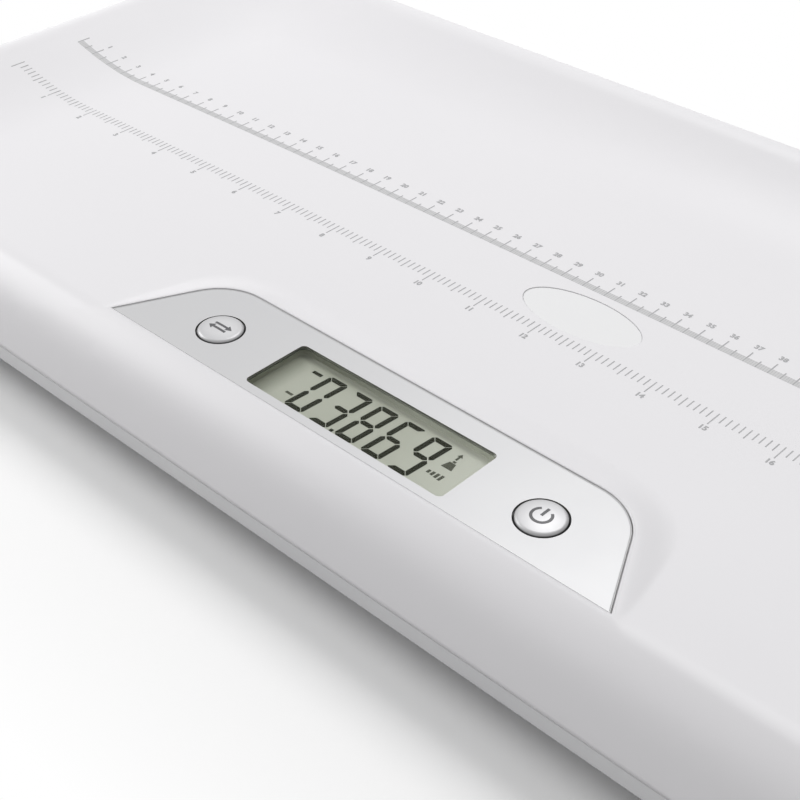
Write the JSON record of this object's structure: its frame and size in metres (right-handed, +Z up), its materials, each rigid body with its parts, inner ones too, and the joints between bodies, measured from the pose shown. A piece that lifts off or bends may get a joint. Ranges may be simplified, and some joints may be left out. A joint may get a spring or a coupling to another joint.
{
  "type": "baby weighing scale",
  "caption": "Low dished tray on a flat base with feet at its corners, for weighing a lying infant, with a display and press buttons on its front rim.",
  "frame": {"origin": "on the floor, below the middle of the tray", "axes": "+X along the tray to the right as seen from the display side, +Y away from the display side, +Z up"},
  "size_m": [0.6702, 0.2972, 0.0601],
  "materials": {
    "tray": "smooth moulded, soft gloss",
    "badge": "satin",
    "panel": "satin silver lacquer",
    "lens": "clear",
    "foam": "foam",
    "display": "grey-green liquid crystal",
    "holder": "moulded",
    "strip_rubber": "silicone",
    "board": "solder mask",
    "chip": "moulded",
    "can": "satin",
    "socket": "moulded",
    "button": "pearl silver lacquer",
    "switch": "moulded",
    "plunger": "moulded",
    "base": "fine texture",
    "nickel": "nickel plate",
    "gauge": "silicone cover",
    "screw": "zinc plate",
    "battery": "printed sleeve",
    "pad_rubber": "matt",
    "foot": "moulded",
    "frame": "moulded",
    "steel": "nickel plate",
    "lead_grey": "sleeve",
    "lead_black": "sleeve",
    "lead_red": "sleeve",
    "clip": "moulded"
  },
  "bodies": {
    "scale": {"badge_plate": "badge", "base_cover": "base", "base_screws": "screw", "battery_1": "battery", "battery_2": "battery", "battery_3": "battery", "battery_4": "battery", "battery_lead_minus": "lead_black", "battery_lead_plus": "lead_red", "battery_springs": "nickel", "battery_terminals": "nickel", "board_capacitors": "can", "board_chips": "chip", "board_screws": "screw", "cell_frame_front_left": "frame", "cell_frame_front_right": "frame", "cell_frame_rear_left": "frame", "cell_frame_rear_right": "frame", "cell_lead_front_left": "lead_grey", "cell_lead_front_right": "lead_grey", "cell_lead_rear_left": "lead_grey", "cell_lead_rear_right": "lead_grey", "circuit_board": "board", "contact_strips": "strip_rubber", "control_panel": "panel", "display_cell": "display", "display_gasket": "foam", "display_holder": "holder", "display_window": "lens", "foot_front_left": "foot", "foot_front_right": "foot", "foot_pad_front_left": "pad_rubber", "foot_pad_front_right": "pad_rubber", "foot_pad_rear_left": "pad_rubber", "foot_pad_rear_right": "pad_rubber", "foot_rear_left": "foot", "foot_rear_right": "foot", "frame_screws": "screw", "lead_clips": "clip", "lead_sockets": "socket", "load_cell_front_left": "steel", "load_cell_front_right": "steel", "load_cell_rear_left": "steel", "load_cell_rear_right": "steel", "power_switch": "switch", "strain_gauges": "gauge", "tray_shell": "tray", "unit_switch": "switch"},
    "unit_key": {"unit_button": "button", "unit_plunger": "plunger"},
    "power_key": {"power_button": "button", "power_plunger": "plunger"},
    "door": {"battery_door": "base"}
  },
  "joints": [
    {"name": "unit_button_press", "type": "slide", "parent": "scale", "child": "unit_key", "axis": [0, 0, -1], "range_m": [0, 0.0005], "stiffness_N_per_m": 2000},
    {"name": "power_button_press", "type": "slide", "parent": "scale", "child": "power_key", "axis": [0, 0, -1], "range_m": [0, 0.0005], "stiffness_N_per_m": 2000},
    {"name": "battery_door_hinge", "type": "hinge", "parent": "scale", "child": "door", "pos_m": [-0.0255, 0.04, 0.012], "axis": [0, 1, 0], "range_deg": [0, 100]}
  ]
}
